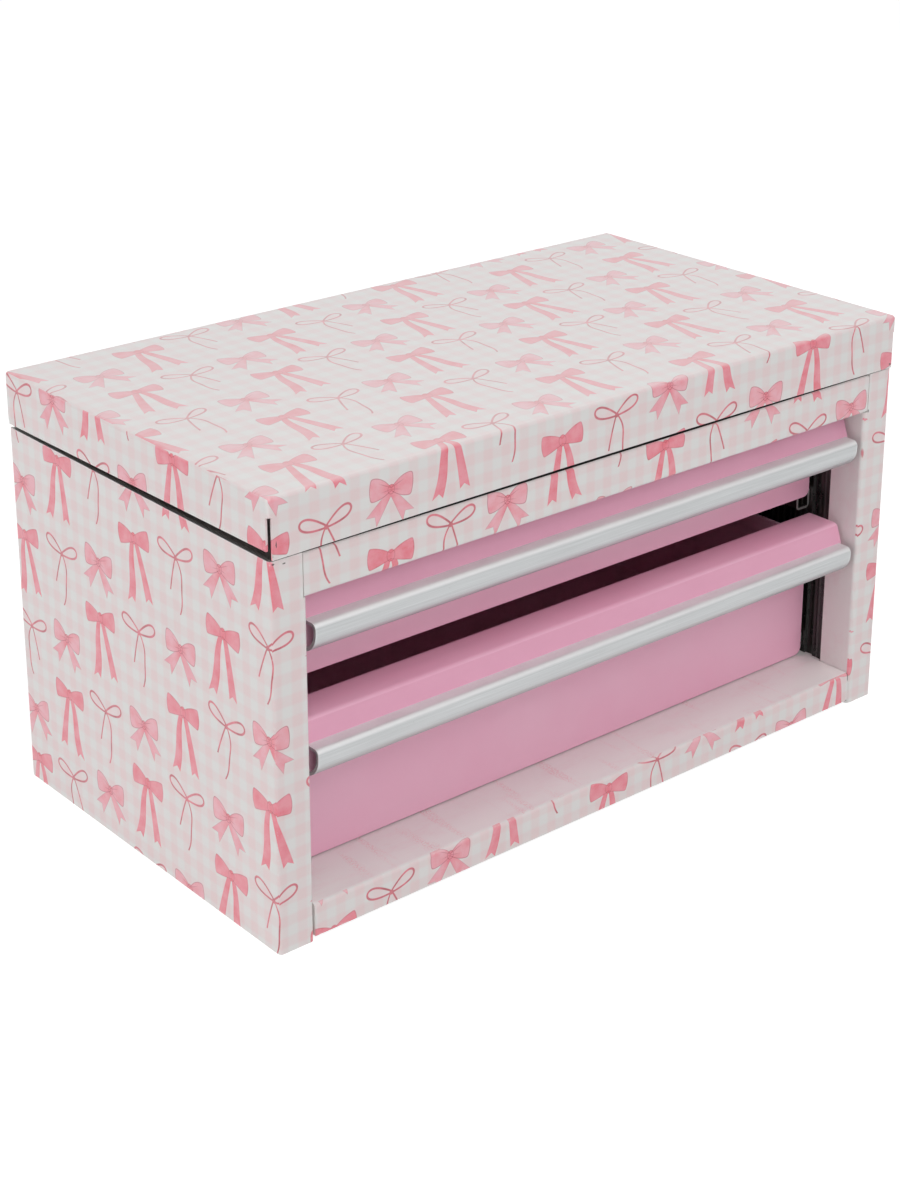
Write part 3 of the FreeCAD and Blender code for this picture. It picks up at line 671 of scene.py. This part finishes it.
def platedSteel(name, nodes):
    style = platedStyle
    material, tree, shader = startMaterial(name)
    low, high = boxOf(*nodes)
    wear = useGroup(tree, edgeWear, Low=low, High=high, Reach=0.8, Grain=1.6)
    grain = useGroup(tree, brushing, Width=0.35, Length=12.0)
    touch = useGroup(tree, handling, Smear_Size=0.08, Ripple_Size=2.0)
    colour = mixed(tree, style["colour"], style["warm"], ((touch["Smear"] - 0.4) * 2.2).clip())
    colour = mixed(tree, colour, (0.74, 0.74, 0.73), wear["Near"] * 0.35)
    roughness = (grain["Streak"] - 0.5) * 0.2 + style["roughness"] + (touch["Smear"] - 0.5) * 0.25
    applyFinish(tree, shader, colour, roughness, grain["Scratch"] * 0.6 + touch["Ripple"] * 0.5, strength=0.35)
    shader.inputs["Metallic"].default_value = 1.0
    return material


def dress(material, *nodes):
    for node in nodes:
        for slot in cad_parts[node].material_slots:
            slot.material = material


caseSize = {"Half_Width": 152.0, "Front": -82.95, "Back": 82.05}
lidSize = {"Half_Width": 152.6, "Front": -83.55, "Back": 82.05, "Top": 166.0}
shellRim = {"Rim_Low": 143.9, "Rim_High": 144.3}
railLip = {"Rim_Low": 143.0, "Rim_High": 144.3}
lidRim = {"Rim_Low": 144.4, "Rim_High": 148.2, "Rim_Facing": -1.0}
cornerMarks = [(-150.6, 143.0, 0.45, 0.35), (-146.3, 142.3, 0.6, 0.25), (139.3, 128.6, 0.5, 0.6)]
footMarks = [(137.1, 12.3, 0.35, 1.6), (136.8, 1.0, 0.7, 0.9)]
lidMarks = [(-151.4, 146.1, 0.5, 0.7), (-149.6, 149.8, 0.22, 0.9), (150.2, 146.1, 0.5, 0.4)]
dress(printedSheet("printed shell", ["case_shell"], {**caseSize, **shellRim}, "bare", 0.9, cornerMarks), "case_shell")
# the rail's top lip, deep in the gap under the lid, is painted near black: painted shade of the gap
dress(printedSheet("printed rail", ["top_rail"], {**caseSize, **railLip}, "gapShade", 0.0), "top_rail")
dress(printedSheet("printed base", ["base_pan"], caseSize, None, 0.0, footMarks, drawerReflection=True), "base_pan")
dress(printedSheet("printed lid", ["lid_pan"], {**lidSize, **lidRim}, "bare", 0.9, lidMarks), "lid_pan")
dress(plainSheet("plain till", ["till_floor"]), "till_floor")
for level in ("lower", "upper"):
    drawer = [level + "_drawer_front"]
    dress(pinkEnamel("pink front " + level, drawer, shadeSlant=True), *drawer)
    dress(pinkEnamel("pink tray " + level, [level + "_drawer_tray"]), level + "_drawer_tray")
    dress(brushedAluminium("brushed pull " + level, [level + "_pull"]), level + "_pull")
    for side in ("left", "right"):
        for part in ("track", "runner"):
            node = level + "_" + side + "_" + part
            cutFront = -55.5 if part == "track" else None
            dress(blackSteel("black " + node.replace("_", " "), [node], cutFront=cutFront), node)
for side in ("left", "right"):
    dress(blackSteel("black panel " + side, [side + "_slide_panel"], ribs=True), side + "_slide_panel")
hingeNodes = ["case_hinge_leaf", "lid_hinge_leaf", "hinge_pin"]
platedMetal = platedSteel("plated hinge", hingeNodes)
dress(platedMetal, *hingeNodes)
print("materials made")


# ---- rivets

rivetStyle = {"hingeRadius": 2.3, "slideRadius": 1.9, "height": 0.7, "sides": 20, "rings": 5}


def rivetHeads(name, heads, body, slot):
    # a low dome on each seat: at turn a and rise s (0 to 1) a point is R cos(s 90 deg) from the axis and
    # H sin(s 90 deg) along it; the seat ring is closed by a fan, and so is the crown
    sides, rings = rivetStyle["sides"], rivetStyle["rings"]
    turn = np.linspace(0, 2 * np.pi, sides, endpoint=False)
    rise = np.linspace(0, np.pi / 2, rings, endpoint=False)
    ring = np.stack([np.outer(np.cos(rise), np.cos(turn)), np.outer(np.cos(rise), np.sin(turn)),
                     np.outer(np.sin(rise), np.ones(sides))], -1).reshape(-1, 3)
    unit = np.vstack([ring, [[0, 0, 1], [0, 0, 0]]])
    i = np.arange(sides)
    j = (i + 1) % sides
    level = np.arange(rings - 1)[:, None] * sides
    quads = np.stack([level + i, level + j, level + sides + j, level + sides + i], -1).reshape(-1, 4)
    crown = np.stack([(rings - 1) * sides + i, (rings - 1) * sides + j, np.full(sides, rings * sides)], -1)
    seat = np.stack([j, i, np.full(sides, rings * sides + 1)], -1)
    points, faces = [], []
    for place, facing, radius in heads:
        facing = np.array(facing, float)
        beside = np.cross(facing, [0, 0, 1.0]) if abs(facing[2]) < 0.9 else np.array([1.0, 0, 0])
        axes = np.stack([beside * radius, np.cross(facing, beside) * radius, facing * rivetStyle["height"]])
        start = len(points) * len(unit)
        points.append((unit @ axes + np.array(place)) / 1000)
        faces += (quads + start).tolist() + (crown + start).tolist() + (seat + start).tolist()
    mesh = bpy.data.meshes.new(name)
    mesh.from_pydata(np.vstack(points).tolist(), [], faces)
    mesh.shade_smooth()
    piece = bpy.data.objects.new(name, mesh)
    scene.collection.objects.link(piece)
    mesh.materials.append(platedSteel("plated " + name.replace("_", " "), [slot[1]]) if slot[1] else platedMetal)
    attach(piece, body)
    return piece


plated = ("plated_steel", None)
hingeHeads = {"case": [], "lid": []}
for x in np.arange(-125.0, 126.0, 50.0):
    for body, z in (("case", 140.6), ("lid", 149.8)):
        hingeHeads[body].append(((x, 83.55 - 0.8, z), (0, 1, 0), rivetStyle["hingeRadius"]))
        hingeHeads[body].append(((x, 80.65, z), (0, -1, 0), rivetStyle["hingeRadius"]))
trackHeads, runnerHeads = [], {"lower": [], "upper": []}
for hand in (-1, 1):
    for level, trackHigh, runnerHigh in (("lower", 19.0, 26.1), ("upper", 84.0, 91.1)):
        for y in (-38.95, 31.05):
            trackHeads.append(((hand * 137.5, y, trackHigh), (-hand, 0, 0), rivetStyle["slideRadius"]))
        for y in (-35.15, 44.85):
            runnerHeads[level].append(((hand * 129.4, y, runnerHigh), (-hand, 0, 0), rivetStyle["slideRadius"]))
rivetHeads("case_hinge_rivets", hingeHeads["case"], "case", plated)
rivetHeads("lid_hinge_rivets", hingeHeads["lid"], "lid", plated)
rivetHeads("track_rivets", trackHeads, "case", plated)
for level in ("lower", "upper"):
    rivetHeads(level + "_runner_rivets", runnerHeads[level], level + "_drawer", plated)
print("rivets made")


# ---- floor, backdrop and lamps

def makeFloor(style):
    # a sheet that lies flat and reaches far out on every side
    reach = style["floorSize"]
    s = np.linspace(-1, 1, 41)
    x, y = np.meshgrid(s * reach, s * reach, indexing="ij")
    points = np.stack([x, y, np.zeros_like(x)], -1).reshape(-1, 3)
    i, j = np.meshgrid(np.arange(40), np.arange(40), indexing="ij")
    first = (i * 41 + j).ravel()
    quads = np.stack([first, first + 41, first + 42, first + 1], -1)
    mesh = bpy.data.meshes.new("studioFloor")
    mesh.from_pydata(points.tolist(), [], quads.tolist())
    floor = bpy.data.objects.new("studioFloor", mesh)
    scene.collection.objects.link(floor)
    material, tree, shader = startMaterial("pale floor")
    tree.nodes.remove(shader)
    soft = addNode(tree, "BsdfDiffuse", Color=style["floorColour"])
    faint = addNode(tree, "BsdfDiffuse", Color=(0.30, 0.30, 0.30, 1))
    glow = addNode(tree, "Emission", Color=(1, 1, 1, 1), Strength=0.92)
    pale = tree.nodes.new("ShaderNodeAddShader")
    give(tree, pale.inputs[0], faint.outputs[0])
    give(tree, pale.inputs[1], glow.outputs[0])
    both = tree.nodes.new("ShaderNodeMixShader")
    give(tree, both.inputs[0], seenDirectly(tree))
    give(tree, both.inputs[1], soft.outputs[0])
    give(tree, both.inputs[2], pale.outputs[0])
    give(tree, tree.nodes["Material Output"].inputs[0], both.outputs[0])
    mesh.materials.append(material)


def makeWorld(style):
    world = bpy.data.worlds.new("pale studio")
    scene.world = world
    world.use_nodes = True
    tree = world.node_tree
    light = tree.nodes["Background"]
    share = seenDirectly(tree)
    give(tree, light.inputs["Color"], (1, 1, 1, 1))
    give(tree, light.inputs["Strength"], share.pick(constantField(tree, style["worldLight"]), 1.0))


def constantField(tree, value):
    node = addNode(tree, "Value")
    node.outputs[0].default_value = value
    return Field(tree, node.outputs[0])


makeFloor(studio)
makeWorld(studio)
for lampName in ("overhead", "leftSide", "front", "behind"):
    makeLamp(lampName, studio[lampName])
makeCamera(camera)
scene.view_settings.view_transform = "Standard"
print("stage made")
